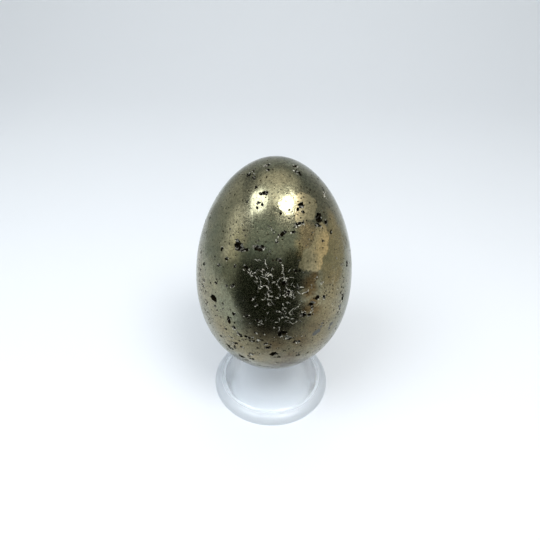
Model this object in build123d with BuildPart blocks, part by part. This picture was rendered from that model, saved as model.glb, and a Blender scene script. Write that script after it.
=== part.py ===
from build123d import *
from math import cos, radians, sin, sqrt
import os

# A polished pyrite egg that rests in a clear ring stand.
# Millimetres, +Z up. The origin is the centre of the stand's foot, on the surface that it stands on.
# Both pieces are turned about Z, and the egg is loose: it lifts straight up out of the ring.
# The front, towards the photograph's camera, is -Y.

# Egg: one lump of stone, ground to an egg and polished
egg_dia = 48.0  # across the widest section
egg_height = 70.6  # from the blunt end to the tip
belly_height = 30.4  # of the widest section above the blunt end
blunt_radius = 23.1  # of the spherical cap that sits in the ring
blunt_angle = 30.0  # of that cap, from the axis to its edge, in degrees

# Fullness of the egg's curves: the share of a curve's height or radius that its handle takes
flank_start = 0.21
flank_end = 0.59
shoulder_full = 0.54
tip_full = 0.51

# Main pits in the egg's skin, where grown crystals don't meet. Each is one box, turned its own way.
# Those that the photograph shows: angle round the egg from the front, share of its height, width
front_pits = [
    (-44, 0.52, 1.7),
    (46, 0.85, 1.7),
    (-28, 0.77, 1.7),
    (2, 0.30, 1.6),
    (-33, 0.26, 1.5),
    (-24, 0.23, 1.4),
    (-16, 0.94, 1.4),
    (-12, 0.78, 1.4),
    (-16, 0.69, 1.4),
    (-30, 0.45, 1.2),
    (-25, 0.39, 1.3),
    (-27, 0.32, 1.1),
    (-15, 0.27, 1.3),
    (-3, 0.34, 1.0),
    (-9, 0.49, 1.1),
    (5, 0.42, 1.2),
    (11, 0.40, 1.3),
    (18, 0.36, 1.2),
    (20, 0.51, 1.2),
    (27, 0.55, 1.2),
    (32, 0.57, 1.2),
    (57, 0.50, 1.3),
    (67, 0.62, 1.3),
    (53, 0.82, 1.0),
    (30, 0.90, 1.3),
    (6, 0.83, 1.1),
    (4, 0.74, 0.9),
    (7, 0.66, 1.0),
    (-29, 0.61, 0.9),
    (-58, 0.55, 1.0),
    (-36, 0.91, 0.9),
    (-66, 0.96, 1.2),
]

# On the rest of the egg they follow a spiral whose turn never lines them up
spiral_pits = 64
spiral_turn = 137.5  # from one pit to the next, in degrees
spiral_low = 0.12  # share of the egg's height where the spiral starts
spiral_high = 0.85  # and where it ends
front_half = 80.0  # the spiral skips the side within this angle of the front, in degrees
spiral_widths = (1.5, 1.0, 1.3, 0.9)
pit_length = 1.3  # share of its width
pit_sink = 0.15  # depth of a box's middle below the skin, as a share of its width
pit_tilt = 35.0  # of a box against the skin, in degrees

# Stand: one clear moulding, a trumpet-shaped ring on a wide, round-edged foot
stand_height = 20.0  # to the top of the rim
rim_dia = 23.2  # of the rim, at the middle of its wall
wall = 2.0  # thickness at the rim
draft = 5.0  # lean of the wall at the rim, in degrees
foot_dia = 40.8  # outside
foot_height = 3.7  # where the flare runs into the foot
foot_fall = 14.0  # slope of the foot's top there, in degrees
foot_width = 5.0  # of the flat ring that the stand rests on
ledge_width = 2.8  # from the foot's outside to the end of the flare
toe_height = 0.8  # of the upright band at the foot's outside
edge_round = 0.4  # on the two edges of the flat ring

# Fullness of the stand's curves, as for the egg
neck_full = 0.65
flare_full = 0.45
foot_full = 0.6

# Nick left on the foot's edge where the moulding gate was trimmed off
nick_width = 1.4
nick_depth = 0.4
nick_angle = 5.0  # round the foot from +X, in degrees

# Room between the rim and the egg that rests on it
seat_gap = 0.15

# The rim's wall ends in a half round, which carries the egg
rim_round = wall / 2
rim_r = rim_dia / 2
rim_z = stand_height - rim_round

# The blunt end settles until its sphere stands off the rim's half round by the seat gap
blunt_centre_z = rim_z + sqrt((blunt_radius + rim_round + seat_gap) ** 2 - rim_r**2)
egg_z = blunt_centre_z - blunt_radius

# Egg
egg_r = egg_dia / 2
belly_z = egg_z + belly_height
tip_z = egg_z + egg_height
cap_slope = Vector(cos(radians(blunt_angle)), sin(radians(blunt_angle)))
cap_edge = Vector(blunt_radius * cap_slope.Y, blunt_centre_z - blunt_radius * cap_slope.X)
flank_height = belly_z - cap_edge.Y
point_height = tip_z - belly_z

# The spiral's pits on the sides and the back, as angle, share and width
back_pits = []
for number in range(spiral_pits):
    angle = number * spiral_turn % 360 - 180
    share = spiral_low + (spiral_high - spiral_low) * number / spiral_pits
    if abs(angle) > front_half:
        back_pits.append((angle, share, spiral_widths[number % len(spiral_widths)]))

with BuildPart() as pyrite_egg:
    with BuildSketch(Plane.XZ):
        with BuildLine():
            CenterArc((0, blunt_centre_z), blunt_radius, -90, blunt_angle)
            Bezier(
                cap_edge,
                cap_edge + cap_slope * flank_start * flank_height,
                (egg_r, belly_z - flank_end * flank_height),
                (egg_r, belly_z),
            )
            Bezier(
                (egg_r, belly_z),
                (egg_r, belly_z + shoulder_full * point_height),
                (tip_full * egg_r, tip_z),
                (0, tip_z),
            )
            Line((0, tip_z), (0, egg_z))
        make_face()
    revolve(axis=Axis.Z)
    skin = pyrite_egg.part
    for number, (angle, share, width) in enumerate(front_pits + back_pits):
        level = Axis((0, 0, egg_z + share * egg_height), (sin(radians(angle)), -cos(radians(angle)), 0))
        point, outward = skin.find_intersection_points(level)[-1]
        turned = Rot(0, 0, number * spiral_turn) * Rot(pit_tilt, pit_tilt, 0)
        with Locations(Plane(point, z_dir=outward) * Pos(0, 0, -pit_sink * width) * turned):
            Box(width, pit_length * width, width, mode=Mode.SUBTRACT)

# Ring stand
foot_r = foot_dia / 2
bore_r = foot_r - foot_width
ledge_r = foot_r - ledge_width
across_wall = Vector(cos(radians(draft)), sin(radians(draft)))
down_wall = Vector(across_wall.Y, -across_wall.X)
rim_middle = Vector(rim_r, rim_z)
rim_outside = rim_middle + across_wall * rim_round
rim_inside = rim_middle - across_wall * rim_round
neck_height = rim_z - foot_height
flare_end = Vector(ledge_r, foot_height)
down_foot = Vector(cos(radians(foot_fall)), -sin(radians(foot_fall)))

with BuildPart() as ring_stand:
    with BuildSketch(Plane.XZ) as section:
        with BuildLine():
            ThreePointArc(rim_inside, rim_middle - down_wall * rim_round, rim_outside)
            Bezier(
                rim_outside,
                rim_outside + down_wall * neck_full * neck_height,
                flare_end - down_foot * flare_full * (ledge_r - rim_outside.X),
                flare_end,
            )
            Bezier(
                flare_end,
                flare_end + down_foot * foot_full * ledge_width,
                (foot_r, toe_height + foot_full * (foot_height - toe_height)),
                (foot_r, toe_height),
            )
            Polyline((foot_r, toe_height), (foot_r, 0), (bore_r, 0))
            Bezier(
                (bore_r, 0),
                (bore_r - flare_full * (bore_r - rim_inside.X), foot_height),
                rim_inside + down_wall * neck_full * neck_height,
                rim_inside,
            )
        make_face()
        fillet(section.vertices().group_by(Axis.Y)[0], edge_round)
    revolve(axis=Axis.Z)
    with PolarLocations(foot_r, 1, start_angle=nick_angle):
        Box(2 * nick_depth, nick_width, 2 * foot_height, mode=Mode.SUBTRACT)

# Write each piece under its own name
os.makedirs("parts", exist_ok=True)
pyrite_egg.part.label = "pyrite_egg"
export_step(pyrite_egg.part, "parts/pyrite_egg.step")
ring_stand.part.label = "ring_stand"
export_step(ring_stand.part, "parts/ring_stand.step")
print(f"egg {egg_dia:.1f} mm wide, {egg_height:.1f} mm high, blunt end {egg_z:.2f} mm above the base")
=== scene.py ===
# %% [markdown]
# # A polished pyrite egg on a clear ring stand
#
# The object is two loose pieces: a heavy egg, ground from one lump of pyrite and polished, and a thin
# clear plastic ring that holds it upright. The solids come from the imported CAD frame. This lesson gives
# them their looks: the egg gets its open pits and crystal facets as real geometry and a brassy metal
# finish, and the stand gets clear plastic.

# %% Load the frame
import math
import random

import bpy
import numpy as np
from mathutils import Matrix, Quaternion, Vector, noise
from mathutils.bvhtree import BVHTree


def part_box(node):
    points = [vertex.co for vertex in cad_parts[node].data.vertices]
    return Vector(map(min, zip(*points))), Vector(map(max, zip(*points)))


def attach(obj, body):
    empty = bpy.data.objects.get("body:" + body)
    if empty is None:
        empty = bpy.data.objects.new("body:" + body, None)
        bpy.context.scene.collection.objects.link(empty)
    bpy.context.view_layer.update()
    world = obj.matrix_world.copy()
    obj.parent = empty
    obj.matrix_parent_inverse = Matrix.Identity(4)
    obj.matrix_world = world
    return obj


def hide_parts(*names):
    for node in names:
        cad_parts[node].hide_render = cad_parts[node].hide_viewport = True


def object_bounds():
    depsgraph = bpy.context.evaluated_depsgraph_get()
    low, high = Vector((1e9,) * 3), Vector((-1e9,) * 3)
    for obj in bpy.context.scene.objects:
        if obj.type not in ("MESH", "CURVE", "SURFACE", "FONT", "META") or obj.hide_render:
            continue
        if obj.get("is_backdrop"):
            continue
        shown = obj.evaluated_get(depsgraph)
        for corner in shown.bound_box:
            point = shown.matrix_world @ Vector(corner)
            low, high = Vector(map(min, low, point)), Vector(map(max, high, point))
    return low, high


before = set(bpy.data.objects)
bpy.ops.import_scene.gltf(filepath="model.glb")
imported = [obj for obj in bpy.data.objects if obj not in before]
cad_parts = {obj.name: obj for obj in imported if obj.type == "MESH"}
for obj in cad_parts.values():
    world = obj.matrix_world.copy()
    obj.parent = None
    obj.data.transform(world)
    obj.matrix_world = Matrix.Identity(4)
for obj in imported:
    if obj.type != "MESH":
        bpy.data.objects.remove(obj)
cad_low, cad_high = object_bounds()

MM = 0.001
egg_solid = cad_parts["pyrite_egg"]
ring_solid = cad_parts["ring_stand"]
egg_low, egg_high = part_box("pyrite_egg")
print("egg stands from", round(egg_low.z / MM, 1), "to", round(egg_high.z / MM, 1), "mm")

# %% [markdown]
# ## Camera
#
# The photograph looks down on the egg from close by, so the egg narrows towards its foot and the stand
# shows as a wide ring in front of it. The place and lens were found by laying the outline of the egg and
# of the foot over the photograph. The camera comes first because the pits below are placed by looking
# through it.

# %% Camera
PHOTO_SIZE = 540
PHOTO_FOCAL = 500
SENSOR_MM = 36
NEAREST_SEEN = 5 * MM
camera_place = Vector((0, -122.96, 145.44)) * MM
camera_down = math.radians(37.49)
camera_pan = math.radians(0.56)
camera_roll = math.radians(1.26)
camera_turn = (
    Matrix.Rotation(camera_pan, 4, "Z")
    @ Matrix.Rotation(math.pi / 2 - camera_down, 4, "X")
    @ Matrix.Rotation(camera_roll, 4, "Z")
)

camera = bpy.data.objects.new("camera", bpy.data.cameras.new("camera"))
camera.data.sensor_width = SENSOR_MM
camera.data.lens = SENSOR_MM * PHOTO_FOCAL / PHOTO_SIZE
camera.data.clip_start = NEAREST_SEEN
camera.matrix_world = Matrix.Translation(camera_place) @ camera_turn
bpy.context.scene.collection.objects.link(camera)
bpy.context.scene.camera = camera
print("lens", round(camera.data.lens, 2), "mm")

# %% [markdown]
# ## The egg's outline
#
# The egg is a turned form, so one curve gives it all: the distance from a middle point to the surface,
# for each angle down from the tip. A smooth polynomial through the solid's own corners gives that curve
# without the small flats of a triangle mesh, and its slope gives the exact direction in which polish
# reflects. The solid has its main pits cut already, so corners that lie under the curve are left out and
# it is drawn again, a few times over.

# %% Outline curve from the solid
corners = np.array([v.co for v in egg_solid.data.vertices])
middle = np.array([0, 0, (egg_low.z + egg_high.z) / 2])
OUTLINE_DEGREE = 14
FIT_ROUNDS = 6
SKIN_SLACK = 0.03 * MM


def polar(points):
    """Angle down from the tip, angle round the axis and distance from the middle, for each point."""
    away = points - middle
    across = np.hypot(away[:, 0], away[:, 1])
    return np.arctan2(across, away[:, 2]), np.arctan2(away[:, 1], away[:, 0]), np.linalg.norm(away, axis=1)


down, _, distance = polar(corners)
on_skin = np.ones(len(corners), bool)
for _ in range(FIT_ROUNDS):
    outline = np.polynomial.Polynomial.fit(np.cos(down[on_skin]), distance[on_skin], OUTLINE_DEGREE)
    under = outline(np.cos(down)) - distance
    on_skin = under < SKIN_SLACK
outline_slope = outline.deriv()
print("outline follows the solid to", round(np.abs(under[on_skin]).max() / MM, 4), "mm")
print("corners under the skin:", int((~on_skin).sum()))


def on_outline(angle_down, angle_round):
    """The egg's surface point and outward direction at those angles."""
    reach = outline(np.cos(angle_down))
    change = -outline_slope(np.cos(angle_down)) * np.sin(angle_down)
    across, along = np.sin(angle_down), np.cos(angle_down)
    run = change * across + reach * along
    rise = change * along - reach * across
    size = np.hypot(run, rise)
    spin = np.stack([np.cos(angle_round), np.sin(angle_round)], -1)
    point = np.concatenate([spin * (reach * across)[..., None], (reach * along)[..., None]], -1) + middle
    direction = np.concatenate([spin * (-rise / size)[..., None], (run / size)[..., None]], -1)
    return point, direction


# %% [markdown]
# ## The egg's skin
#
# The body is a grid of rings around the axis, closed at both ends. The rings lie at equal angles seen from
# the middle, and the grid is fine enough that the edge stays round in a close view.

# %% Body mesh
RINGS = 120
COLUMNS = 184

ring_down = np.linspace(0, math.pi, RINGS + 1)[1:-1]
column_round = np.linspace(0, 2 * math.pi, COLUMNS, endpoint=False)
grid_down, grid_round = np.meshgrid(ring_down, column_round, indexing="ij")
grid, _ = on_outline(grid_down.ravel(), grid_round.ravel())
poles, _ = on_outline(np.array([0.0, math.pi]), np.zeros(2))
tip, blunt = len(grid), len(grid) + 1

faces = []
for ring in range(RINGS - 2):
    for column in range(COLUMNS):
        beside = (column + 1) % COLUMNS
        upper, lower = ring * COLUMNS, (ring + 1) * COLUMNS
        faces.append((upper + column, lower + column, lower + beside, upper + beside))
last = (RINGS - 2) * COLUMNS
for column in range(COLUMNS):
    beside = (column + 1) % COLUMNS
    faces.append((tip, column, beside))
    faces.append((blunt, last + beside, last + column))

body_points = np.vstack([grid, poles]).tolist()
body = BVHTree.FromPolygons(body_points, faces)
egg_mesh = bpy.data.meshes.new("polished_egg")
egg_mesh.from_pydata(body_points, [], faces)
egg = bpy.data.objects.new("polished_egg", egg_mesh)
bpy.context.scene.collection.objects.link(egg)
print("egg body has", len(faces), "faces")

# %% [markdown]
# ## Where the pits are
#
# Pyrite grows as masses of cubes, and where the cubes don't quite meet, polishing opens a gap. Such pits
# are angular, with flat crystal faces inside. The larger ones are placed by their pixels in the
# photograph, looked at through the camera onto the egg. Smaller ones run in seams, some gaps are no more
# than thin cracks, and the finest pits are scattered. On the sides that the photograph doesn't show, the
# solid's own pits give the places.

# %% Places in the photograph
def seen_at(pixel_x, pixel_y):
    """The point of the egg that a pixel of the photograph shows."""
    half = PHOTO_SIZE / 2
    ray = Vector((pixel_x - half, half - pixel_y, -PHOTO_FOCAL))
    ray = (camera_turn.to_3x3() @ ray).normalized()
    point = body.ray_cast(camera_place, ray)[0]
    return np.array(point) if point else None


# Pits that stand out: pixel across and down, width and length in mm, lean of the length in the picture
MAIN_PITS = [
    (238, 244, 1.1, 1.7, 80), (241, 247, 1.5, 2.0, 130), (245, 250, 0.5, 2.2, 20),
    (237, 249, 0.7, 0.9, 0), (258, 248, 1.0, 1.9, 10), (262, 247, 0.9, 1.1, 0),
    (222, 249, 0.5, 1.0, 75), (227, 259, 0.7, 0.8, 0), (265, 193, 0.8, 1.6, 20),
    (261, 194, 0.6, 1.0, 0), (258, 203, 0.6, 0.9, 60), (262, 204, 0.6, 1.2, 120),
    (257, 208, 0.5, 0.6, 0), (247, 202, 0.45, 1.2, 70), (256, 187, 0.5, 0.5, 0),
    (281, 213, 0.5, 0.6, 0), (301, 205, 1.1, 1.3, 0), (299, 209, 0.6, 1.0, 0),
    (303, 212, 0.6, 0.7, 0), (319, 217, 1.5, 2.0, 80), (326, 222, 0.8, 1.2, 0),
    (317, 225, 0.7, 1.4, 130), (320, 226, 0.6, 0.8, 0), (331, 232, 0.7, 1.1, 70),
    (296, 225, 0.6, 1.0, 20), (299, 224, 0.6, 1.8, 20), (302, 223, 0.5, 1.2, 15),
    (293, 232, 0.5, 1.2, 0), (248, 175, 0.9, 1.4, 100), (254, 178, 0.8, 1.0, 120),
    (254, 170, 0.6, 1.0, 120), (267, 165, 0.9, 1.8, 60), (268, 170, 0.6, 0.7, 0),
    (295, 166, 0.8, 1.8, 120), (297, 172, 0.7, 1.9, 130), (300, 174, 0.5, 1.0, 60),
    (282, 234, 0.8, 1.9, 40), (277, 242, 0.5, 0.9, 0), (323, 241, 0.5, 0.7, 0),
    (279, 260, 0.7, 1.4, 150), (295, 271, 0.5, 0.9, 150), (284, 283, 0.8, 1.4, 50),
    (322, 283, 0.5, 0.8, 40), (316, 278, 0.4, 0.9, 0), (347, 264, 1.1, 1.6, 60),
    (343, 295, 1.1, 1.6, 100), (342, 300, 0.9, 1.2, 90), (318, 297, 1.1, 1.3, 30),
    (324, 297, 0.7, 1.6, 100), (326, 291, 0.4, 0.9, 60), (312, 303, 1.0, 1.4, 20),
    (312, 308, 0.5, 1.1, 100), (303, 315, 0.9, 1.7, 160), (309, 315, 0.7, 1.1, 0),
    (313, 314, 0.4, 0.8, 0), (298, 288, 0.5, 1.0, 120), (280, 334, 0.9, 1.8, 100),
    (285, 333, 1.0, 1.2, 0), (288, 338, 1.0, 1.8, 140), (298, 342, 1.0, 1.2, 40),
    (294, 342, 0.5, 1.4, 60), (274, 354, 1.4, 2.0, 30), (279, 357, 0.7, 1.1, 150),
    (277, 363, 0.6, 0.9, 0), (298, 355, 0.8, 0.9, 0), (300, 352, 0.4, 0.6, 0),
    (307, 353, 0.5, 1.2, 20), (303, 358, 0.4, 0.9, 20), (320, 349, 0.5, 0.8, 0),
    (326, 342, 0.5, 1.2, 60), (331, 337, 0.5, 1.3, 60), (335, 330, 0.6, 1.5, 65),
    (251, 354, 1.0, 1.8, 30), (249, 356, 0.6, 1.1, 60), (252, 359, 0.9, 1.2, 0),
    (241, 356, 1.0, 2.1, 150), (247, 360, 0.7, 0.9, 0), (231, 348, 1.0, 2.4, 150),
    (235, 347, 0.7, 1.5, 70), (228, 345, 0.6, 1.2, 140), (235, 343, 0.7, 2.4, 5),
    (240, 335, 0.8, 2.0, 150), (238, 333, 0.5, 1.2, 120), (247, 337, 0.7, 1.8, 160),
    (252, 341, 0.6, 1.6, 10), (260, 340, 0.6, 1.8, 5), (266, 344, 0.5, 1.6, 35),
    (267, 348, 0.8, 1.4, 30), (258, 348, 0.4, 2.2, 140), (242, 347, 0.7, 0.9, 0),
    (247, 344, 0.4, 0.7, 0), (232, 338, 0.5, 0.8, 160), (229, 320, 0.8, 2.3, 85),
    (234, 328, 1.0, 1.2, 150), (234, 314, 0.7, 0.9, 0), (231, 310, 0.4, 0.9, 150),
    (226, 329, 0.5, 0.9, 20), (221, 336, 0.5, 0.9, 40), (256, 333, 0.5, 1.1, 0),
    (264, 334, 0.4, 0.5, 0), (214, 298, 1.5, 2.1, 10), (215, 306, 0.6, 1.2, 60),
    (217, 310, 0.5, 0.8, 80), (223, 304, 0.5, 0.6, 0), (205, 310, 0.6, 0.8, 40),
    (209, 318, 0.5, 0.7, 0), (210, 323, 0.5, 0.8, 60), (216, 316, 0.5, 0.7, 0),
    (204, 281, 0.8, 1.2, 120), (216, 283, 0.6, 0.8, 0), (203, 286, 0.6, 1.0, 70),
    (206, 292, 0.5, 0.9, 60), (204, 264, 0.7, 0.9, 60), (201, 252, 0.5, 1.0, 80),
    (211, 213, 0.5, 1.0, 50), (210, 218, 0.5, 0.8, 80), (219, 265, 0.5, 1.0, 20),
    (227, 286, 0.6, 0.9, 0), (232, 286, 0.7, 1.2, 40), (235, 266, 0.5, 0.9, 80),
    (246, 267, 0.5, 1.0, 140), (252, 272, 0.4, 0.8, 30), (259, 321, 0.9, 1.3, 0),
    (247, 316, 0.6, 1.2, 60), (252, 299, 0.6, 1.2, 20), (256, 305, 0.6, 0.9, 90),
    (262, 286, 0.5, 0.8, 0), (288, 293, 0.7, 1.2, 90),
]

# Seams of small pits, as the pixels that they pass through
SEAMS = [
    [(225, 352), (232, 344), (246, 338), (262, 340)],
    [(343, 264), (344, 280), (342, 292), (338, 310)],
    [(199, 268), (202, 285), (207, 305), (214, 325)],
]

# Thin open seams with pale crystal and painted glints in them, mostly in the dark part of the front
CRACKS = [
    [(243, 269), (248, 272), (251, 276), (255, 276), (257, 279)],
    [(248, 269), (251, 272), (253, 274), (256, 271), (260, 270)],
    [(255, 259), (258, 260), (261, 260)],
    [(265, 258), (264, 262), (267, 266)],
    [(277, 259), (281, 260), (280, 263), (284, 267), (283, 272), (284, 278), (287, 281)],
    [(262, 269), (266, 271), (268, 276), (270, 275), (273, 277)],
    [(262, 274), (264, 276), (268, 278), (268, 281)],
    [(258, 276), (260, 280), (261, 286), (259, 288)],
    [(268, 287), (269, 291), (267, 293), (269, 296), (273, 296)],
    [(285, 286), (288, 290), (287, 294), (290, 295), (294, 294)],
    [(289, 289), (292, 293), (290, 297), (286, 297), (283, 295)],
    [(297, 288), (300, 287), (304, 287)],
    [(302, 294), (306, 292), (309, 290)],
    [(302, 301), (300, 305), (297, 307), (293, 309)],
    [(313, 302), (311, 307), (313, 310), (310, 313)],
    [(273, 311), (279, 312), (283, 313), (285, 316), (289, 318), (293, 319), (297, 319)],
    [(297, 321), (293, 324), (290, 322), (287, 320), (284, 322)],
    [(285, 314), (288, 312), (290, 315), (293, 314), (297, 312)],
    [(299, 314), (303, 312), (306, 311)],
    [(279, 322), (280, 319), (283, 317)],
    [(280, 327), (279, 331), (280, 335), (284, 338)],
    [(265, 297), (267, 299), (271, 300), (274, 304)],
    [(251, 299), (254, 299), (255, 297)],
    [(257, 322), (260, 320), (262, 322), (260, 325), (257, 324)],
    [(246, 316), (249, 315)],
    [(276, 241), (279, 235), (284, 233)],
    [(268, 225), (271, 228), (275, 233)],
    [(293, 228), (297, 225), (303, 223)],
    [(294, 166), (297, 170), (296, 173), (300, 175)],
    [(323, 191), (325, 197), (327, 200)],
]

print("pits read from the photograph:", len(MAIN_PITS), "and thin seams:", len(CRACKS))

# %% [markdown]
# ## Crystal-shaped cutters
#
# A pit is cut with a few small boxes, each turned its own way like the cubes that once grew there. Deep
# boxes lie along the pit and shallow ones break its rim, so its floor is made of flat facets at many
# angles. Most numbers here are shares of the pit or of the box, so small and large pits look alike.

# %% Boxes for one pit
chance = random.Random(41)
SMALL_PIT = 0.48  # mm; narrower pits get the fewest boxes
FEWEST_BOXES = 2
BOXES_FOR_LENGTH = 1.5
DEEP_ASIDE = 0.2  # from the pit's long axis, share of its width
DEEP_EDGE = (0.85, 1.25)  # size of a box, share of the pit's width
DEEP_SINK = (0.0, 0.4)  # of a box's middle below the skin, share of its size
RIM_ALONG = 0.55  # from the pit's middle, share of its length
RIM_ASIDE = (0.25, 0.55)
RIM_EDGE = (0.4, 0.75)
RIM_RISE = (0.15, 0.4)  # of a box's middle above the skin, share of its size
BOX_SIDES = (0.7, 1.2)  # each side of a box, share of its size
NO_LENGTH = 1e-6
cutters = []


def surface_frame(point, lean):
    """The skin at a point of the egg: place, outward direction and two along it, turned by lean."""
    angle_down, angle_round, _ = polar(point[None, :])
    place, out = on_outline(angle_down, angle_round)
    out = Vector(out[0])
    wide = Vector((0, 0, 1)).cross(out)
    wide = wide.normalized() if wide.length > NO_LENGTH else Vector((1, 0, 0))
    wide.rotate(Quaternion(out, math.radians(lean)))
    return Vector(place[0]), out, wide, out.cross(wide)


def open_pit(point, width, length, lean):
    """Adds one pit's cutters: deep boxes, then shallow ones on its rim. Sizes in mm, lean in degrees."""
    place, out, wide, tall = surface_frame(point, lean)
    large = width > SMALL_PIT
    deep_boxes = FEWEST_BOXES + (round(BOXES_FOR_LENGTH * length / width) if large else 0)
    rim_boxes = deep_boxes if large else 1
    for number in range(deep_boxes + rim_boxes):
        if number < deep_boxes:
            along = chance.uniform(-0.5, 0.5) * max(length - 0.5 * width, 0)
            aside = chance.uniform(-DEEP_ASIDE, DEEP_ASIDE) * width
            edge = chance.uniform(*DEEP_EDGE) * width
            depth = chance.uniform(*DEEP_SINK) * edge
        else:
            along = chance.uniform(-RIM_ALONG, RIM_ALONG) * length
            aside = chance.choice((-1, 1)) * chance.uniform(*RIM_ASIDE) * width
            edge = chance.uniform(*RIM_EDGE) * width
            depth = -chance.uniform(*RIM_RISE) * edge
        centre = place + (wide * along + tall * aside - out * depth) * MM
        turn = Quaternion([chance.gauss(0, 1) for _ in range(4)]).normalized()
        sides = Vector([edge * chance.uniform(*BOX_SIDES) for _ in range(3)]) * MM
        cutters.append((centre, turn, sides))


# %% Main pits
main_spots = []
for pixel_x, pixel_y, width, length, lean in MAIN_PITS:
    spot = seen_at(pixel_x, pixel_y)
    if spot is not None:
        open_pit(spot, width, length, lean)
        main_spots.append(spot)
print("boxes for the main pits:", len(cutters))

# %% Pits on the sides and the back
# The solid's corners under its outline belong to its pits, and the deepest one of each gives its size
PIT_REACH = 2.2 * MM
WIDTH_FOR_DEPTH = 0.95
HIDDEN_LENGTH = (1.1, 1.6)  # share of a pit's width
HALF_TURN = 180
waiting = corners[~on_skin]
depths = under[~on_skin]
while len(waiting):
    same_pit = np.linalg.norm(waiting - waiting[depths.argmax()], axis=1) < PIT_REACH
    spot = waiting[same_pit].mean(0)
    size = WIDTH_FOR_DEPTH * depths.max() / MM
    waiting, depths = waiting[~same_pit], depths[~same_pit]
    if min(np.linalg.norm(main_spots - spot, axis=1)) > PIT_REACH and size > SMALL_PIT:
        open_pit(spot, size, size * chance.uniform(*HIDDEN_LENGTH), chance.uniform(0, HALF_TURN))
print("with the solid's hidden pits:", len(cutters))

# %% Seams of small pits
SEAM_STEPS = 8  # pits between two of a seam's pixels
SEAM_SWAY = 0.8  # pixels
SEAM_SIZE = (0.22, 0.47)  # mm
SEAM_LENGTH = (1, 3)  # share of a pit's width
SEAM_SWING = 35  # degrees
for seam in SEAMS:
    for start, end in zip(seam, seam[1:]):
        run, rise = end[0] - start[0], start[1] - end[1]
        seam_lean = math.degrees(math.atan2(rise, run))
        for step in range(SEAM_STEPS):
            share = (step + chance.random()) / SEAM_STEPS
            pixel_x = start[0] + run * share + chance.gauss(0, SEAM_SWAY)
            pixel_y = start[1] - rise * share + chance.gauss(0, SEAM_SWAY)
            spot = seen_at(pixel_x, pixel_y)
            if spot is not None:
                size = chance.uniform(*SEAM_SIZE)
                length = size * chance.uniform(*SEAM_LENGTH)
                open_pit(spot, size, length, seam_lean + chance.gauss(0, SEAM_SWING))
print("with the seams of small pits:", len(cutters))

# %% [markdown]
# ## Thin open seams
#
# In the dark part of the front the gaps are only cracks, and pale crystal shows in them, brightened by
# painted glints. Each is a chain of narrow boxes along the skin, rolled so that the floor turns up to
# the light. Short spurs leave it to the sides, and a net of finer cracks fills the middle. A real crack
# is finer than a pixel, so they are drawn just wide enough to show.

# %% Thin open seams
CRACK_STEP = 1.6  # pixels from one box to the next
CRACK_SWAY = 0.35  # pixels
CRACK_WIDTH = 0.15  # mm
CRACK_VARY = (0.6, 1.3)
CRACK_ROLL = (0.4, 0.9)  # radians
CRACK_OVERLAP = 0.5  # this and the next two are shares of the width
CRACK_DEPTH = 1.5
CRACK_SINK = 0.1
SPURS = 0.7  # share of the boxes that have a spur
SPUR_SWAY = 1.5
SPUR_WIDTH = 0.12
glints = []


def near_pixel(pixel, spread):
    """A point of the egg that shows within a few pixels of a pixel."""
    return seen_at(pixel[0] + chance.gauss(0, spread), pixel[1] + chance.gauss(0, spread))


def open_crack(point, next_point, width):
    """Adds one thin cutter along the skin from a point of the egg to the next; width in mm."""
    place, out, _, _ = surface_frame((point + next_point) / 2, 0)
    along = Vector(next_point - point)
    length = along.length
    along.normalize()
    aside = out.cross(along).normalized()
    upright = Matrix((along, aside, along.cross(aside))).transposed().to_quaternion()
    roll = -math.copysign(chance.uniform(*CRACK_ROLL), aside.z)
    turn = upright @ Quaternion((1, 0, 0), roll)
    width *= chance.uniform(*CRACK_VARY) * MM
    sides = Vector((length + CRACK_OVERLAP * width, width, CRACK_DEPTH * width))
    cutters.append((place - out * CRACK_SINK * width, turn, sides))
    return np.array(place)


for crack in CRACKS:
    for start, end in zip(crack, crack[1:]):
        run = np.array(end) - start
        steps = max(1, round(np.linalg.norm(run) / CRACK_STEP))
        before = seen_at(*start)
        for step in range(1, steps + 1):
            pixel = start + run * step / steps
            spot = near_pixel(pixel, CRACK_SWAY)
            glints.append(open_crack(before, spot, CRACK_WIDTH))
            if chance.random() < SPURS:
                glints.append(open_crack(spot, near_pixel(pixel, SPUR_SWAY), SPUR_WIDTH))
            before = spot
print("with the thin seams:", len(cutters))

# %% Net of finer cracks
FINE_CRACKS = 80
FINE_STRETCHES = (2, 4)  # boxes in one crack
FINE_SWAY = 1.4
FINE_WIDTH = 0.11
NET_MIDDLE = np.array([275, 294])  # pixel across and down
NET_REACH = np.array([14, 17])
for _ in range(FINE_CRACKS):
    pixel = NET_MIDDLE + NET_REACH * [chance.gauss(0, 1), chance.gauss(0, 1)]
    before = seen_at(*pixel)
    for _ in range(chance.randint(*FINE_STRETCHES)):
        spot = near_pixel(pixel, FINE_SWAY)
        open_crack(before, spot, FINE_WIDTH)
        before = spot
print("with the net:", len(cutters))

# %% [markdown]
# ## Fine scatter
#
# The smallest pits lie all over the egg, denser in some patches than in others and denser towards the
# blunt end. A soft noise over the surface says where they crowd.

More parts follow.
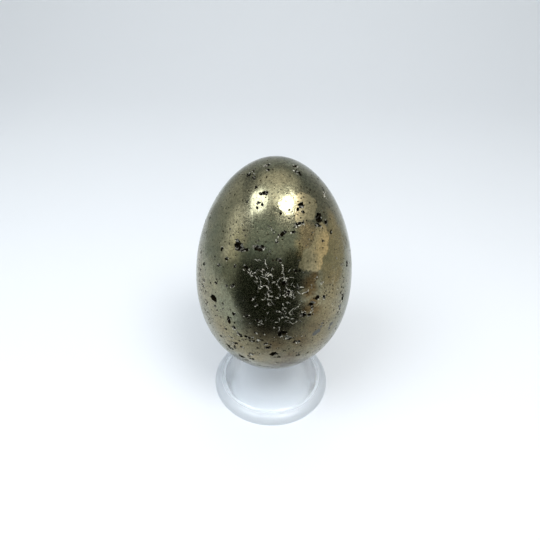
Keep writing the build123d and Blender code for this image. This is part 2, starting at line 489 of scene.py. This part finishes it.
# %% Fine scatter
SCATTER = 900
CROWD_MM = 9  # from one crowded patch to the next
CROWD_FALL = 0.35  # how much denser the lower end is
CROWD_LEVEL = 0.3
CROWD_BLUR = 0.35
CROWD_LEAST = 0.05  # places under it stay bare
SCATTER_SIZE = 0.26  # mm
SCATTER_SPAN = 0.22  # mm
SCATTER_LENGTH = (1, 1.9)  # share of a pit's width
for _ in range(SCATTER):
    height = chance.uniform(-1, 1)
    spot_down, spot_round = math.acos(height), chance.uniform(0, 2 * math.pi)
    point, _ = on_outline(np.array([spot_down]), np.array([spot_round]))
    crowd = noise.noise(Vector(point[0]) / MM / CROWD_MM) + CROWD_FALL * (CROWD_LEVEL - height)
    if crowd + chance.uniform(-CROWD_BLUR, CROWD_BLUR) < CROWD_LEAST:
        continue
    size = SCATTER_SIZE + SCATTER_SPAN * chance.random() ** 2
    open_pit(point[0], size, size * chance.uniform(*SCATTER_LENGTH), chance.uniform(0, HALF_TURN))
print("with the scatter:", len(cutters))

# %% [markdown]
# ## Cutting
#
# Boxes that overlap can't be cut together without leaving walls inside each other, so they are sorted into
# passes in which no two boxes touch, and each pass is one clean boolean.

# %% Sort into passes and cut
passes = []
for centre, turn, sides in cutters:
    reach = sides.length / 2
    for members in passes:
        if all((centre - other[0]).length > reach + other[3] for other in members):
            break
    else:
        members = []
        passes.append(members)
    members.append((centre, turn, sides, reach))

BOX_CORNERS = [(x, y, z) for x in (-0.5, 0.5) for y in (-0.5, 0.5) for z in (-0.5, 0.5)]
BOX_FACES = [(0, 1, 3, 2), (4, 6, 7, 5), (0, 4, 5, 1), (2, 3, 7, 6), (0, 2, 6, 4), (1, 5, 7, 3)]
for members in passes:
    box_corners, box_faces = [], []
    for centre, turn, sides, _ in members:
        first = len(box_corners)
        box_corners += [centre + turn @ (Vector(corner) * sides) for corner in BOX_CORNERS]
        box_faces += [[first + index for index in face] for face in BOX_FACES]
    cutter_mesh = bpy.data.meshes.new("pit_boxes")
    cutter_mesh.from_pydata(box_corners, [], box_faces)
    cutter = bpy.data.objects.new("pit_boxes", cutter_mesh)
    bpy.context.scene.collection.objects.link(cutter)
    cut = egg.modifiers.new("pits", "BOOLEAN")
    cut.operation = "DIFFERENCE"
    cut.solver = "MANIFOLD"
    cut.object = cutter
    carved = bpy.data.meshes.new_from_object(egg.evaluated_get(bpy.context.evaluated_depsgraph_get()))
    egg.modifiers.clear()
    egg.data = carved
    bpy.data.objects.remove(cutter)
egg.data.name = "polished_egg"
print("cut in", len(passes), "passes;", len(egg.data.polygons), "faces now")

# %% [markdown]
# ## Polish and raw crystal
#
# What still lies on the outline is polish, and what lies under it or leans away from it is a raw crystal
# face. Polish takes its reflecting direction from the outline curve, so it mirrors like a truly round
# stone, while each raw facet stays flat. Every facet also gets a number that later picks between dark
# and bright: mostly luck, a little more where the cut is shallow or a thin seam runs, which paints
# glints on pit rims and seams and leaves deep facets dark as painted shade.

# %% Tell polish from pit
# The booleans leave an empty material slot; clearing it later would put every face back on the first one
skin = egg.data
skin.materials.clear()
POLISH_DEPTH = 0.012 * MM
POLISH_ALIGNED = 0.985  # cosine of the most that a polished face leans
centres = np.zeros(len(skin.polygons) * 3)
skin.polygons.foreach_get("center", centres)
centres = centres.reshape(-1, 3)
facing = np.zeros(len(skin.polygons) * 3)
skin.polygons.foreach_get("normal", facing)
facing = facing.reshape(-1, 3)
face_down, face_round, face_reach = polar(centres)
_, face_out = on_outline(face_down, face_round)
sunk = outline(np.cos(face_down)) - face_reach
aligned = (face_out * facing).sum(1)
in_pit = (sunk > POLISH_DEPTH) | (aligned < POLISH_ALIGNED)
skin.polygons.foreach_set("material_index", in_pit.astype(np.int32))
skin.polygons.foreach_set("use_smooth", ~in_pit)
print("pit facets:", int(in_pit.sum()))

# %% Set the reflecting directions
places = np.zeros(len(skin.vertices) * 3)
skin.vertices.foreach_get("co", places)
vertex_down, vertex_round, _ = polar(places.reshape(-1, 3))
_, vertex_out = on_outline(vertex_down, vertex_round)
corner_vertex = np.zeros(len(skin.loops), np.int32)
skin.loops.foreach_get("vertex_index", corner_vertex)
face_size = np.zeros(len(skin.polygons), np.int32)
skin.polygons.foreach_get("loop_total", face_size)
corner_in_pit = np.repeat(in_pit, face_size)
corner_out = vertex_out[corner_vertex]
corner_out[corner_in_pit] = np.repeat(facing, face_size, axis=0)[corner_in_pit]
skin.normals_split_custom_set(corner_out.tolist())
print("triangles in all:", int((face_size - 2).sum()))

# %% Number the facets
SHALLOW = 0.22 * MM
GLINT_REACH = 0.4 * MM
LUCK_SHARE = 0.66
SHALLOW_SHARE = 0.25
GLINT_SHARE = 0.06
# Shallow facets and those near a thin seam get higher numbers: painted glints there, painted shade deep
# down
shallow = 1 - np.clip(sunk / SHALLOW, 0, 1)
near_glint = np.zeros(len(skin.polygons), bool)
for spot in glints:
    near_glint |= np.linalg.norm(centres - spot, axis=1) < GLINT_REACH
luck = np.array([chance.random() for _ in range(len(skin.polygons))])
numbers = LUCK_SHARE * luck + SHALLOW_SHARE * shallow + GLINT_SHARE * near_glint
facet = skin.attributes.new("facet", "FLOAT", "FACE")
facet.data.foreach_set("value", numbers)
print("facets near a thin seam:", int((near_glint & in_pit).sum()))

# %% [markdown]
# ## Colours and nodes
#
# Colours are written as the hex values that a paint program shows, and one function turns them into the
# linear numbers that light adds up in. One more adds a node, sets its values and links its inputs.

# %% Helpers for materials
def linear(hex_colour):
    """Linear red, green, blue and alpha of an sRGB hex colour."""
    parts = [int(hex_colour[i:i + 2], 16) / 255 for i in (1, 3, 5)]
    return [c / 12.92 if c <= 0.04045 else ((c + 0.055) / 1.055) ** 2.4 for c in parts] + [1]


def add(tree, kind, inputs=(), **settings):
    """Adds a node; an input that is another node's output is linked, and any other is set."""
    made = tree.nodes.new(kind)
    for name, value in settings.items():
        setattr(made, name, value)
    for name, value in dict(inputs).items():
        if isinstance(value, bpy.types.NodeSocket):
            tree.links.new(value, made.inputs[name])
        else:
            made.inputs[name].default_value = value
    return made


def new_material(name):
    """An empty node material with its output, ready for a surface."""
    material = bpy.data.materials.new(name)
    material.use_nodes = True
    material.node_tree.nodes.clear()
    return material, material.node_tree, add(material.node_tree, "ShaderNodeOutputMaterial")


def place_in_mm(tree):
    """The point of the surface in mm, so that a pattern takes its size from the real object."""
    where = add(tree, "ShaderNodeTexCoord").outputs["Object"]
    return add(tree, "ShaderNodeVectorMath", {0: where, "Scale": 1 / MM}, operation="SCALE").outputs[0]


print("middle grey is", round(linear("#808080")[0], 3), "in linear light")

# %% [markdown]
# ## Polished pyrite
#
# Pyrite is an iron sulphide that reflects about half of the light, a little less in the blue, so it looks
# like a pale, greyish brass. Ground and polished on a wheel it is a metal mirror with a haze: grains a
# few millimetres wide stand at slightly different heights and angles, fine dust pits dull it, and some
# grains never took the polish and stay matt. It is a metal here, with the haze in the roughness, the
# grains as small tilts of the surface and the matt grains as patches with crisp, wandering borders.

# %% Polished pyrite: where the patches are
# Each patch is a few spots: pixel across and down, radius in mm. In order: matt grains, brown tarnish,
# dark tarnish, a pale stretch that is a painted reflection, a warm stretch that is painted shade, tan
# stretches that are partly tone and partly painted shade, grey veins, and where fine hairlines show.
MATT_SPOTS = [
    (303, 200, 2.2), (309, 204, 2.6), (304, 211, 2.4), (301, 218, 1.8), (309, 212, 2.0), (321, 230, 2.0),
    (322, 240, 2.4), (318, 250, 2.8), (311, 257, 2.6), (307, 264, 2.2), (316, 263, 2.4), (324, 250, 1.6),
]
BROWN_SPOTS = [(308, 233, 2.6), (304, 243, 2.2), (301, 252, 1.2)]
UMBER_SPOTS = [
    (310, 283, 2.0), (314, 276, 1.5), (313, 288, 1.4), (309, 293, 1.8), (313, 302, 1.8), (307, 309, 1.8),
    (316, 310, 1.6),
]
# Painted reflection: a pale stretch on the left, lighter where the polish would mirror a pale wall
PALE_REFLECTION_SPOTS = [(239, 216, 2.0), (237, 226, 2.4), (234, 238, 2.4), (230, 250, 2.0)]
# Painted shade: a darker warm stretch low on the front, where the polish mirrors the shaded table
WARM_SHADE_SPOTS = [
    (264, 337, 3.0), (275, 345, 5.0), (300, 340, 4.5), (290, 355, 4.0), (285, 364, 4.0), (312, 328, 3.5),
]
# Tan tone on the right; the spots low on the front and left are painted shade of the shaded table
TAN_AND_SHADE_SPOTS = [
    (326, 312, 5.0), (332, 295, 4.0), (320, 338, 4.0), (255, 358, 4.0), (275, 366, 5.0), (222, 328, 3.5),
    (238, 345, 4.0),
]
VEIN_SPOTS = [
    (315, 333, 1.0), (318, 331, 0.8), (321, 326, 0.5), (322, 323, 0.4), (331, 324, 0.8), (329, 328, 0.6),
    (340, 306, 0.8),
]
HAIR_SPOTS = [
    (289, 190, 3.5), (288, 203, 4.5), (305, 210, 5.0), (318, 235, 5.0), (310, 260, 6.0), (322, 262, 5.0),
]
WANDER_MM = 2.2
NOISE_MIDDLE = (0.5, 0.5, 0.5)

polished, tree, output = new_material("wheel_polished_pyrite")
in_mm = place_in_mm(tree)
wander = add(tree, "ShaderNodeTexNoise",
             {"Vector": in_mm, "Scale": 1 / WANDER_MM, "Detail": 4, "Roughness": 0.65}).outputs["Color"]
wander = add(tree, "ShaderNodeVectorMath", {0: wander, 1: NOISE_MIDDLE}, operation="SUBTRACT").outputs[0]


def patches(spots, sway_mm, blur_mm):
    """A mask of round spots on the egg, joined into patches whose borders sway and blur that far."""
    sway = add(tree, "ShaderNodeVectorMath", {0: wander, "Scale": sway_mm}, operation="SCALE")
    moved = add(tree, "ShaderNodeVectorMath", {0: in_mm, 1: sway.outputs[0]}).outputs[0]
    mask = 0.0
    for pixel_x, pixel_y, radius in spots:
        centre = seen_at(pixel_x, pixel_y) / MM
        apart = add(tree, "ShaderNodeVectorMath", {0: moved, 1: centre}, operation="DISTANCE")
        inside = add(tree, "ShaderNodeMapRange",
                     {"Value": apart.outputs["Value"],
                      "From Min": radius + blur_mm, "From Max": radius - blur_mm})
        mask = add(tree, "ShaderNodeMath", {0: mask, 1: inside.outputs[0]}, operation="MAXIMUM").outputs[0]
    return mask


matt = patches(MATT_SPOTS, sway_mm=2.5, blur_mm=0.2)
brown = patches(BROWN_SPOTS, sway_mm=3, blur_mm=0.9)
umber = patches(UMBER_SPOTS, sway_mm=3, blur_mm=0.9)
tan_and_shade = patches(TAN_AND_SHADE_SPOTS, sway_mm=4, blur_mm=4)
warm_shade = patches(WARM_SHADE_SPOTS, sway_mm=4, blur_mm=4)
pale_reflection = patches(PALE_REFLECTION_SPOTS, sway_mm=3, blur_mm=2.0)
vein = patches(VEIN_SPOTS, sway_mm=1.5, blur_mm=0.12)
hair = patches(HAIR_SPOTS, sway_mm=4, blur_mm=1.5)
print("patches take", len(tree.nodes), "nodes")

# %% Polished pyrite: grain and pinholes
# Broad drifts of tone, crystal grains and a speckle, then pinholes, more of them where the tone is brassy
BROAD_MM = 14
SPECKLE_MM = 0.6
GRAIN_MM = 6
RAGGED_MM = 0.5
broad = add(tree, "ShaderNodeTexNoise",
            {"Vector": in_mm, "Scale": 1 / BROAD_MM, "Detail": 5, "Roughness": 0.6})
speckle = add(tree, "ShaderNodeTexNoise",
              {"Vector": in_mm, "Scale": 1 / SPECKLE_MM, "Detail": 3, "Roughness": 0.7})
bent = add(tree, "ShaderNodeVectorMath", {0: in_mm, 1: wander}).outputs[0]
grain = add(tree, "ShaderNodeTexVoronoi", {"Vector": bent, "Scale": 1 / GRAIN_MM})
ragged = add(tree, "ShaderNodeVectorMath",
             {0: speckle.outputs["Color"], "Scale": RAGGED_MM}, operation="SCALE")
ragged = add(tree, "ShaderNodeVectorMath", {0: in_mm, 1: ragged.outputs[0]}).outputs[0]


def pinholes(spacing_mm, widest_mm, fewest):
    """A mask of tiny dark holes with ragged edges; fewest is the share of places that stay bare."""
    cells = add(tree, "ShaderNodeTexVoronoi", {"Vector": ragged, "Scale": 1 / spacing_mm})
    luck = add(tree, "ShaderNodeSeparateColor", {0: cells.outputs["Color"]}).outputs[0]
    luck = add(tree, "ShaderNodeMath", {0: luck, 1: broad.outputs[0]}, operation="ADD").outputs[0]
    radius = add(tree, "ShaderNodeMapRange",
                 {"Value": luck, "From Min": 0.5 + fewest, "From Max": 1.5,
                  "To Max": widest_mm / 2 / spacing_mm}).outputs[0]
    apart = cells.outputs["Distance"]
    edge = add(tree, "ShaderNodeMath", {0: radius, 1: apart}, operation="SUBTRACT").outputs[0]
    return add(tree, "ShaderNodeMapRange", {"Value": edge, "From Min": -0.02, "From Max": 0.06}).outputs[0]


coarse_holes = pinholes(spacing_mm=1.9, widest_mm=0.8, fewest=0.45)
fine_holes = pinholes(spacing_mm=0.75, widest_mm=0.5, fewest=0.3)
holes = add(tree, "ShaderNodeMath", {0: coarse_holes, 1: fine_holes}, operation="MAXIMUM").outputs[0]
print("with grain and pinholes:", len(tree.nodes), "nodes")

# %% Polished pyrite: colour
# The base colour of a metal is the share of the light that it mirrors
BRASS = linear("#8c866c")
OLIVE = linear("#787a66")
BROWN = linear("#b8a278")
MATT = linear("#c0b28b")
UMBER = linear("#66563a")
# Painted shade, darker low on the front where the table in the egg's shadow is mirrored
WARM_SHADE = linear("#5e523a")
# Partly tan tone, partly painted shade low on the front and left
TAN_AND_SHADE = linear("#867b5c")
# Painted reflection of a pale wall, lightening the base colour on the left
PALE_REFLECTION = linear("#ccc29f")
GREY_VEIN = linear("#5a5a55")
HOLE = linear("#2b271b")

brass = add(tree, "ShaderNodeMapRange", {"Value": broad.outputs[0], "From Min": 0.35, "From Max": 0.65})
light = add(tree, "ShaderNodeMapRange",
            {"Value": speckle.outputs[0], "From Min": 0.38, "From Max": 0.62,
             "To Min": 0.69, "To Max": 1.25})
grain_light = add(tree, "ShaderNodeMapRange",
                  {"Value": grain.outputs["Color"], "To Min": 0.86, "To Max": 1.08})
shade = add(tree, "ShaderNodeMath", {0: light.outputs[0], 1: grain_light.outputs[0]}, operation="MULTIPLY")

colour = add(tree, "ShaderNodeMix", {0: brass.outputs[0], 6: OLIVE, 7: BRASS}, data_type="RGBA").outputs[2]
# The pale stretch puts painted reflection into the base colour here, the warm and tan ones painted shade
for mask, tone in ((tan_and_shade, TAN_AND_SHADE), (warm_shade, WARM_SHADE), (pale_reflection, PALE_REFLECTION), (umber, UMBER), (brown, BROWN), (matt, MATT)):
    colour = add(tree, "ShaderNodeMix", {0: mask, 6: colour, 7: tone}, data_type="RGBA").outputs[2]
colour = add(tree, "ShaderNodeVectorMath",
             {0: colour, "Scale": shade.outputs[0]}, operation="SCALE").outputs[0]
for mask, tone in ((vein, GREY_VEIN), (holes, HOLE)):
    colour = add(tree, "ShaderNodeMix", {0: mask, 6: colour, 7: tone}, data_type="RGBA").outputs[2]
print("with colour:", len(tree.nodes), "nodes")

# %% Polished pyrite: haze, grain tilt and hairlines
# The wheel's real scratches are thousandths of a mm wide. Here clear and hazy points mix far coarser than
# that, yet still within a pixel, so they blend into a bright highlight with a soft skirt.
MICRO_MM = 0.14
# Real hairlines are finer than a pixel too, and are drawn wide enough to show
HAIR_WIDTH_MM = 0.4
HAIR_LENGTH_MM = 5
HAIR_HEIGHT = 1.6
SPECKLE_HEIGHT = 0.3
RELIEF_MM = 0.03
GRAIN_TILT = 0.07
MATT_HAZE = 0.3
VEIN_HAZE = 0.4
HOLE_HAZE = 0.6

micro = add(tree, "ShaderNodeTexNoise", {"Vector": in_mm, "Scale": 1 / MICRO_MM, "Detail": 1})
haze = add(tree, "ShaderNodeMapRange",
           {"Value": micro.outputs[0], "From Min": 0.46, "From Max": 0.74,
            "To Min": 0.13, "To Max": 0.46}).outputs[0]
for mask, roughness in ((matt, MATT_HAZE), (vein, VEIN_HAZE), (holes, HOLE_HAZE)):
    haze = add(tree, "ShaderNodeMix", {0: mask, 2: haze, 3: roughness}).outputs[0]

flat = add(tree, "ShaderNodeNewGeometry").outputs["Normal"]
tilt = add(tree, "ShaderNodeVectorMath",
           {0: grain.outputs["Color"], 1: NOISE_MIDDLE}, operation="SUBTRACT")
tilt = add(tree, "ShaderNodeVectorMath", {0: tilt.outputs[0], "Scale": GRAIN_TILT}, operation="SCALE")
tilt = add(tree, "ShaderNodeVectorMath", {0: flat, 1: tilt.outputs[0]})
tilt = add(tree, "ShaderNodeVectorMath", {0: tilt.outputs[0]}, operation="NORMALIZE").outputs[0]

comb = (1 / HAIR_WIDTH_MM, 1 / HAIR_WIDTH_MM, 1 / HAIR_LENGTH_MM)
combed = add(tree, "ShaderNodeVectorMath", {0: in_mm, 1: comb}, operation="MULTIPLY")
hairs = add(tree, "ShaderNodeTexNoise", {"Vector": combed.outputs[0], "Scale": 1, "Detail": 2})
lines = add(tree, "ShaderNodeMath", {0: hairs.outputs[0], 1: hair}, operation="MULTIPLY").outputs[0]
lines = add(tree, "ShaderNodeMath", {0: lines, 1: HAIR_HEIGHT}, operation="MULTIPLY").outputs[0]
uneven = add(tree, "ShaderNodeMath",
             {0: speckle.outputs[0], 1: SPECKLE_HEIGHT}, operation="MULTIPLY").outputs[0]
height = add(tree, "ShaderNodeMath", {0: lines, 1: uneven}, operation="ADD").outputs[0]
height = add(tree, "ShaderNodeMath", {0: height, 1: holes}, operation="SUBTRACT").outputs[0]
relief = add(tree, "ShaderNodeBump",
             {"Height": height, "Normal": tilt, "Strength": 0.5, "Distance": RELIEF_MM * MM})

surface = add(tree, "ShaderNodeBsdfPrincipled",
              {"Base Color": colour, "Metallic": 1, "Roughness": haze, "Normal": relief.outputs[0]})
tree.links.new(surface.outputs[0], output.inputs[0])
print("polished pyrite has", len(tree.nodes), "nodes")

# %% [markdown]
# ## Raw crystal in the pits
#
# Inside a pit nothing was polished: small crystal faces lie at all angles, most of them dark, partly
# tarnish and partly painted shade. The bright ones look pale and dusty and carry painted glints, so they
# are drawn less metallic and catch the light from any side. Each facet's own number picks between dark
# and bright.

# %% Raw crystal
GRIT_MM = 0.25
# Dark tarnish that is also painted shade deep in pits; pale dust that also paints the glints
TARNISH_AND_SHADE = linear("#1f1b12")
DUST_AND_GLINT = linear("#cfccbe")

raw, tree, output = new_material("raw_pyrite_crystal")
pick = add(tree, "ShaderNodeAttribute", attribute_name="facet", attribute_type="GEOMETRY").outputs["Fac"]
in_mm = place_in_mm(tree)
grit = add(tree, "ShaderNodeTexNoise", {"Vector": in_mm, "Scale": 1 / GRIT_MM, "Detail": 3})
flash = add(tree, "ShaderNodeMapRange", {"Value": pick, "From Min": 0.47, "From Max": 0.64}).outputs[0]
colour = add(tree, "ShaderNodeMix", {0: flash, 6: TARNISH_AND_SHADE, 7: DUST_AND_GLINT}, data_type="RGBA").outputs[2]
dull = add(tree, "ShaderNodeMapRange",
           {"Value": pick, "From Min": 0.5, "From Max": 0.9, "To Min": 0.6, "To Max": 0.4}).outputs[0]
bare = add(tree, "ShaderNodeMapRange", {"Value": flash, "To Min": 1, "To Max": 0.3}).outputs[0]
relief = add(tree, "ShaderNodeBump",
             {"Height": grit.outputs[0], "Strength": 0.6, "Distance": RELIEF_MM * MM})
surface = add(tree, "ShaderNodeBsdfPrincipled",
              {"Base Color": colour, "Metallic": bare, "Roughness": dull, "Normal": relief.outputs[0]})
tree.links.new(surface.outputs[0], output.inputs[0])

skin.materials.append(polished)
skin.materials.append(raw)
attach(egg, "egg")
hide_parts("pyrite_egg")
print("egg wears", [m.name for m in skin.materials])

# %% [markdown]
# ## Clear plastic
#
# The stand is a clear moulding, most likely polystyrene or acrylic. It bends light about as much as
# window glass and has a slightly soft gloss from the mould. Its thick, rounded foot looks softer and
# milkier than the thin wall, and its grey tint is painted shade for the dimmer light seen through it,
# so the finish and the tint change with the distance from the axis. Light from the lamps would be
# stopped by a plain glass shader, so for shadow rays it counts as tinted and see-through.

# %% Clear plastic
FLOW_MM = 6  # faint waves left by the flow of the melt
FOOT_TOP_MM = 16.5  # from the axis, where the foot begins to turn milky
FOOT_EDGE_MM = 18.5
RIPPLE_MM = 0.1
WALL_TINT = linear("#f8f9fa")
# Grey painted shade for the foot, the dimmer light seen through it
FOOT_SHADE_TINT = linear("#d4d8dc")
SHADOW_TINT = linear("#e2e7ea")

clear, tree, output = new_material("clear_moulded_plastic")
in_mm = place_in_mm(tree)
flow = add(tree, "ShaderNodeTexNoise", {"Vector": in_mm, "Scale": 1 / FLOW_MM, "Detail": 2})
level_mm = add(tree, "ShaderNodeVectorMath", {0: in_mm, 1: (1, 1, 0)}, operation="MULTIPLY").outputs[0]
from_axis = add(tree, "ShaderNodeVectorMath", {0: level_mm}, operation="LENGTH").outputs["Value"]
outer = add(tree, "ShaderNodeMapRange",
            {"Value": from_axis, "From Min": FOOT_TOP_MM, "From Max": FOOT_EDGE_MM}).outputs[0]
softness = add(tree, "ShaderNodeMapRange", {"Value": outer, "To Min": 0.2, "To Max": 0.3}).outputs[0]
clearness = add(tree, "ShaderNodeMapRange", {"Value": outer, "To Min": 0.92, "To Max": 0.38}).outputs[0]
# Painted shade: the tint turns grey towards the foot
tint_and_foot_shade = add(tree, "ShaderNodeMix", {0: outer, 6: WALL_TINT, 7: FOOT_SHADE_TINT}, data_type="RGBA").outputs[2]
ripple = add(tree, "ShaderNodeBump",
             {"Height": flow.outputs[0], "Strength": 0.15, "Distance": RIPPLE_MM * MM})
glass = add(tree, "ShaderNodeBsdfPrincipled",
            {"Base Color": tint_and_foot_shade, "Roughness": softness, "IOR": 1.5,
             "Transmission Weight": clearness, "Normal": ripple.outputs[0]})
through = add(tree, "ShaderNodeBsdfTransparent", {0: SHADOW_TINT})
shadow_ray = add(tree, "ShaderNodeLightPath").outputs["Is Shadow Ray"]
surface = add(tree, "ShaderNodeMixShader", {0: shadow_ray, 1: glass.outputs[0], 2: through.outputs[0]})
tree.links.new(surface.outputs[0], output.inputs[0])
ring_solid.material_slots[0].material = clear
print("stand wears", clear.name)

# %% [markdown]
# ## Stage and light
#
# The egg is a mirror, so what stands around it draws its shading: a white table, two oval lamps above,
# a pale ceiling, grey and brown boards around it, a dark opening in front, and dark and grey sheets
# on the table in front that are painted shadow. The lamps make the two highlights. The boards and
# sheets are only seen as reflections. The overhead light and the wash on the backdrop are only felt,
# so neither shows in the picture or in the polish.

# %% Floor and world
FLOOR_BELOW = 0.2 * MM
FLOOR_HALF = 2.0
SWEEP_START = 0.3
SWEEP_RADIUS = 0.4
WALL_TOP = 1.6
SWEEP_STEPS = 24
sweep = [(-FLOOR_HALF, 0), (SWEEP_START, 0)]
for step in range(1, SWEEP_STEPS + 1):
    bend = step / SWEEP_STEPS * math.pi / 2
    sweep.append((SWEEP_START + SWEEP_RADIUS * math.sin(bend), SWEEP_RADIUS * (1 - math.cos(bend))))
sweep.append((SWEEP_START + SWEEP_RADIUS, WALL_TOP))
floor_corners = [(x, y, z - FLOOR_BELOW) for y, z in sweep for x in (-FLOOR_HALF, FLOOR_HALF)]
floor_faces = [(2 * i, 2 * i + 1, 2 * i + 3, 2 * i + 2) for i in range(len(sweep) - 1)]
floor_mesh = bpy.data.meshes.new("table")
floor_mesh.from_pydata(floor_corners, [], floor_faces)
floor_mesh.polygons.foreach_set("use_smooth", [True] * len(floor_faces))
floor = bpy.data.objects.new("table", floor_mesh)
bpy.context.scene.collection.objects.link(floor)
# A matt white that shows the shadow softly, with hardly any shine
paper, tree, output = new_material("white_table")
surface = add(tree, "ShaderNodeBsdfPrincipled", {"Base Color": linear("#eceef1"), "Roughness": 0.6})
tree.links.new(surface.outputs[0], output.inputs[0])
floor_mesh.materials.append(paper)
floor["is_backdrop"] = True

world = bpy.data.worlds.new("studio")
bpy.context.scene.world = world
world.use_nodes = True
tree = world.node_tree
tree.nodes.clear()
output = add(tree, "ShaderNodeOutputWorld")
sky = add(tree, "ShaderNodeBackground", {"Color": linear("#e2ebee"), "Strength": 0.42})
tree.links.new(sky.outputs[0], output.inputs[0])
print("table and backdrop have", len(floor_faces), "faces")

# %% Lamps and boards
BEFORE_PLASTIC = 0.5  # a ray that has gone through the plastic counts 1 or more


def lamp(name, azimuth, elevation, reach, width, height, watts, aim, tone="#ffffff"):
    """An oval soft lamp, seen from the egg's tip: degrees, azimuth 0 towards the camera, and metres."""
    light = bpy.data.lights.new(name, "AREA")
    light.shape = "ELLIPSE"
    light.size = width
    light.size_y = height
    light.energy = watts
    light.color = linear(tone)[:3]
    turn, lift = math.radians(azimuth), math.radians(elevation)
    away = Vector((math.sin(turn) * math.cos(lift), -math.cos(turn) * math.cos(lift), math.sin(lift)))
    made = bpy.data.objects.new(name, light)
    made.location = egg_tip + away * reach
    made.rotation_euler = (made.location - aim).to_track_quat("Z", "Y").to_euler()
    made.visible_camera = False
    bpy.context.scene.collection.objects.link(made)
    return made


def card(name, centre_mm, half_mm, shade, soft, strength=1):
    """An oval card with a soft edge, seen in reflections only; its half size across the card is 0."""
    half = Vector(half_mm) * MM
    sides = [axis for axis in range(3) if half[axis] > 0]
    corners = []
    for first, second in ((-1, -1), (1, -1), (1, 1), (-1, 1)):
        corner = Vector((0, 0, 0))
        corner[sides[0]] = first * half[sides[0]]
        corner[sides[1]] = second * half[sides[1]]
        corners.append(corner)
    mesh = bpy.data.meshes.new(name)
    mesh.from_pydata(corners, [], [(0, 1, 2, 3)])
    made = bpy.data.objects.new(name, mesh)
    made.location = Vector(centre_mm) * MM
    paint, tree, output = new_material(name)
    where = add(tree, "ShaderNodeTexCoord").outputs["Object"]
    spread = [1 / size if size > 0 else 0 for size in half]
    where = add(tree, "ShaderNodeVectorMath", {0: where, 1: spread}, operation="MULTIPLY").outputs[0]
    squared = add(tree, "ShaderNodeVectorMath", {0: where, 1: where}, operation="MULTIPLY").outputs[0]
    out = add(tree, "ShaderNodeVectorMath", {0: squared}, operation="LENGTH").outputs["Value"]
    solid = add(tree, "ShaderNodeMapRange", {"Value": out, "From Min": 1, "From Max": 1 - soft},
                interpolation_type="SMOOTHSTEP").outputs[0]
    passed = add(tree, "ShaderNodeLightPath").outputs["Transmission Depth"]
    direct = add(tree, "ShaderNodeMath", {0: passed, 1: BEFORE_PLASTIC}, operation="LESS_THAN").outputs[0]
    solid = add(tree, "ShaderNodeMath", {0: solid, 1: direct}, operation="MULTIPLY").outputs[0]
    clear_edge = add(tree, "ShaderNodeBsdfTransparent").outputs[0]
    glow = add(tree, "ShaderNodeEmission", {"Color": linear(shade), "Strength": strength}).outputs[0]
    surface = add(tree, "ShaderNodeMixShader", {0: solid, 1: clear_edge, 2: glow})
    tree.links.new(surface.outputs[0], output.inputs[0])
    mesh.materials.append(paint)
    bpy.context.scene.collection.objects.link(made)
    made.visible_camera = False
    made.visible_diffuse = False
    made.visible_shadow = False
    made.visible_transmission = False
    made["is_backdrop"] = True


egg_tip = Vector((0, 0, egg_high.z))
backdrop = Vector((0, SWEEP_START + SWEEP_RADIUS, SWEEP_RADIUS / 2))
lamp("lamp_left", azimuth=-51.5, elevation=50.5, reach=0.4, width=0.27, height=0.21, watts=0.91,
     aim=egg_tip, tone="#f2f8ff")
lamp("lamp_right", azimuth=37, elevation=56, reach=0.4, width=0.21, height=0.16, watts=0.96,
     aim=egg_tip)
overhead = lamp("overhead", azimuth=0, elevation=76, reach=0.9, width=0.8, height=0.8, watts=1.8,
                aim=egg_tip)
wash = lamp("backdrop_wash", azimuth=180, elevation=60, reach=0.7, width=1.0, height=0.3, watts=0.8,
            aim=backdrop)
for unseen in (overhead, wash):
    unseen.visible_glossy = False
card("ceiling_glow", (45, -60, 450), (380, 380, 0), "#fdfaf2", soft=1, strength=1.17)
card("lamp_glow", (0, -162, 448), (140, 140, 0), "#fdfaf2", soft=1, strength=2.05)
card("dark_front", (-16, -86, 16), (100, 0, 88), "#242b1f", soft=0.65)
# Painted shadow: dark and grey sheets on the table in front, seen only in the polish
card("dark_floor_shadow", (0, -116, 0.3), (98, 78, 0), "#25241a", soft=0.85)
card("grey_floor_shadow", (-145, -152, 0.2), (90, 62, 0), "#909489", soft=0.2)
card("grey_corner", (-194, -145, 60), (0, 85, 110), "#b0b4aa", soft=0.3)
card("grey_front", (-10, -200, 150), (230, 0, 105), "#b5c1be", soft=0.5)
card("olive_front", (75, -150, 97), (50, 0, 32), "#44472f", soft=0.6)
card("grey_left", (-195, 110, 60), (0, 250, 150), "#c9cfcf", soft=0.2)
card("brown_right", (150, 5, 20), (0, 100, 75), "#e2d6bf", soft=0.5)
bpy.context.scene.view_settings.view_transform = "Standard"

# %% [markdown]
# ## Hand over
# ## Sizes
# The solid's box and the dressed part's box are kept side by side, so that it shows at once if a piece has
# grown past the solid that it stands for.

# %% Sizes and finish
seen_low, seen_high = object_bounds()
grown = (seen_high - seen_low) - (cad_high - cad_low)
print("box grew by", [round(side / MM, 3) for side in grown], "mm")
